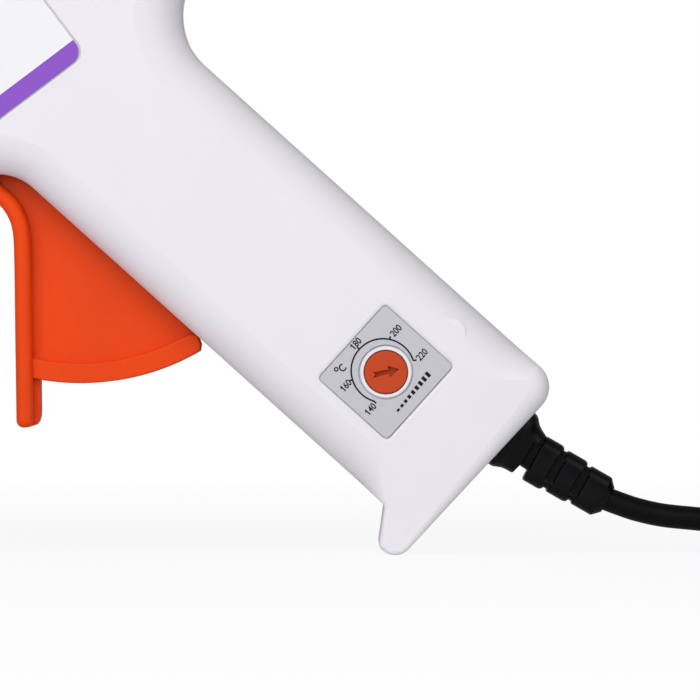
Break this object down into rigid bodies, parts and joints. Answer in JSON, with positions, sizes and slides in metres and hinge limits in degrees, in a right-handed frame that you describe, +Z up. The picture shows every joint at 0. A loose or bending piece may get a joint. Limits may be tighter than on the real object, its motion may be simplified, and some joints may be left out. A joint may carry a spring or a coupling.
{
  "type": "hot glue gun",
  "caption": "Pistol-shaped hot glue gun with trigger feed, temperature dial, brass nozzle and folding wire stand, its mains cord coiled behind it.",
  "frame": {"origin": "centre of the gun's overall box at floor level, cord left out", "axes": "+X towards the cord along the gun's length, +Y towards its right side, +Z up; the nozzle points down to -X"},
  "size_m": [0.3815, 0.0796, 0.1598],
  "materials": {
    "aluminium": "cast",
    "black_rubber": "glossy moulded",
    "blue_wire": "insulation",
    "brass": "machined",
    "ceramic": "unglazed",
    "circuit_board": "solder mask",
    "grey_label": "printed film",
    "nylon": "matte moulded",
    "orange_plastic": "satin moulded",
    "purple_label": "printed film",
    "red_wire": "insulation",
    "silicone": "matte moulded",
    "steel": "bright wire and plated screws",
    "white_plastic": "satin moulded, fine grain"
  },
  "bodies": {
    "housing": {"barrel_label": "purple_label", "capacitor": "aluminium", "clamp_screw_1": "steel", "clamp_screw_2": "steel", "control_board": "circuit_board", "cord_clamp": "nylon", "cord_coil": "black_rubber", "cord_lead": "black_rubber", "cord_tie": "black_rubber", "dial_plate": "grey_label", "front_collar": "orange_plastic", "front_insulator": "ceramic", "heater_clip": "steel", "heater_lead_1": "silicone", "heater_lead_2": "silicone", "housing_screw_1": "steel", "housing_screw_2": "steel", "housing_screw_3": "steel", "housing_screw_4": "steel", "housing_screw_5": "steel", "housing_screw_6": "steel", "inlet_ring": "orange_plastic", "left_shell": "white_plastic", "live_wire": "red_wire", "melt_chamber": "aluminium", "neutral_wire": "blue_wire", "nozzle": "brass", "nozzle_sleeve": "silicone", "plug_blade_1": "brass", "plug_blade_2": "brass", "plug_body": "black_rubber", "potentiometer": "steel", "ptc_heater": "ceramic", "rear_insulator": "ceramic", "return_spring": "steel", "right_shell": "white_plastic", "stick_seal": "silicone", "strain_relief": "black_rubber", "triac": "black_rubber", "trigger_pin": "steel"},
    "trigger": {"trigger": "orange_plastic"},
    "feed": {"feed_carriage": "nylon", "jaw_pin": "steel"},
    "jaw": {"grip_jaw": "steel"},
    "dial": {"dial_knob": "orange_plastic"},
    "stand": {"wire_stand": "steel"}
  },
  "joints": [
    {"name": "trigger_squeeze", "type": "hinge", "parent": "housing", "child": "trigger", "pos_m": [-0.00447, 0, 0.08864], "axis": [0, -1, 0], "range_deg": [0, 22], "stiffness_Nm_per_rad": 0.5, "springref_deg": -17.19},
    {"name": "feed_slide", "type": "slide", "parent": "housing", "child": "feed", "axis": [-0.7986, 0, -0.6018], "range_m": [0, 0.0072], "deforming": ["return_spring"]},
    {"name": "jaw_tilt", "type": "hinge", "parent": "feed", "child": "jaw", "pos_m": [-0.02397, 0, 0.12616], "axis": [0, -1, 0], "range_deg": [0, 9]},
    {"name": "dial_turn", "type": "hinge", "parent": "housing", "child": "dial", "pos_m": [0.06226, -0.0165, 0.03963], "axis": [0, 1, 0], "range_deg": [-240, 0]},
    {"name": "stand_fold", "type": "hinge", "parent": "housing", "child": "stand", "pos_m": [-0.0709, 0, 0.06049], "axis": [0, 1, 0], "range_deg": [0, 70]}
  ],
  "couplings": [
    {"joint": "feed_slide", "follows": "trigger_squeeze", "m_per_rad": 0.018},
    {"joint": "jaw_tilt", "follows": "trigger_squeeze", "ratio": 0.4}
  ]
}
